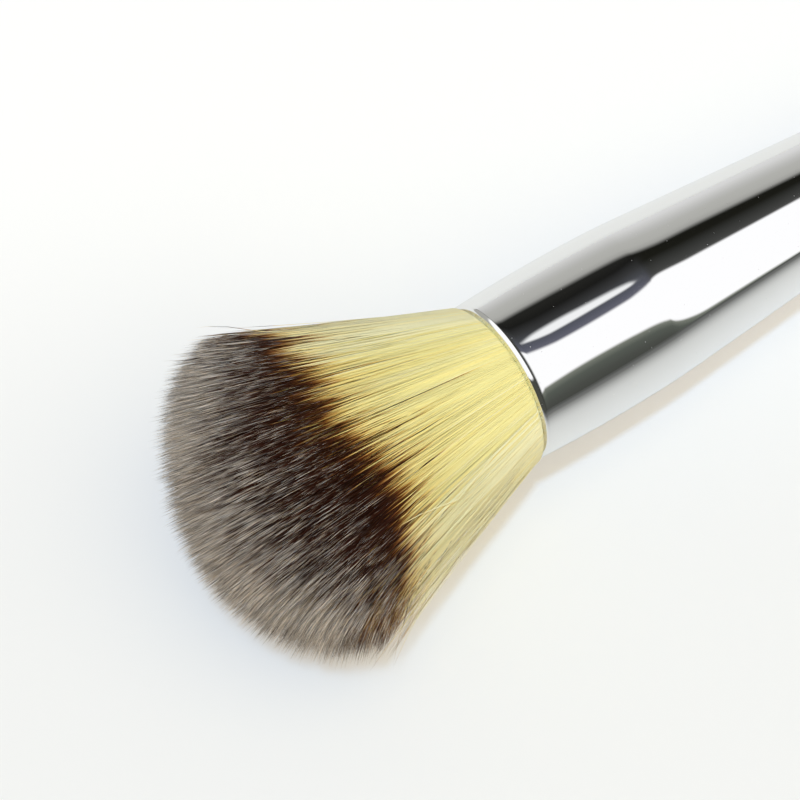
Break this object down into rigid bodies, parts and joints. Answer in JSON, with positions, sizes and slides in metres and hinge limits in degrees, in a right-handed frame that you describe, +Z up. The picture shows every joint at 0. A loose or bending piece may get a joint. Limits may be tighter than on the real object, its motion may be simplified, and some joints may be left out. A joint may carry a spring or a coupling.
{
  "type": "double-ended makeup brush",
  "caption": "Double-ended makeup brush: a wide fanned powder tuft in a mirror-bright ferrule, a small domed detail tuft at the far end, and a tapered silver handle between them.",
  "frame": {"origin": "on the table under the middle of the lying brush", "axes": "+X from the powder tuft to the detail tuft along the brush's length, +Z up from the table; the brush axis leans down towards +X because the powder tuft is thicker"},
  "size_m": [0.1912, 0.0424, 0.0416],
  "materials": {
    "fibre": "soft crimped synthetic fibre, straw at the root, dark brown in the middle, taupe at the tips",
    "thread": "undyed binding thread",
    "resin": "cast amber resin",
    "bright_metal": "drawn aluminium, mirror polished and bright plated",
    "adhesive": "set adhesive, dull",
    "silver_handle": "moulded plastic with a silver metallised coat"
  },
  "bodies": {
    "root": {"powder_tuft": "fibre", "powder_binding": "thread", "powder_plug": "resin", "powder_ferrule": "bright_metal", "powder_adhesive": "adhesive", "handle": "silver_handle", "detail_adhesive": "adhesive", "detail_ferrule": "bright_metal", "detail_plug": "resin", "detail_binding": "thread", "detail_tuft": "fibre"}
  },
  "joints": []
}
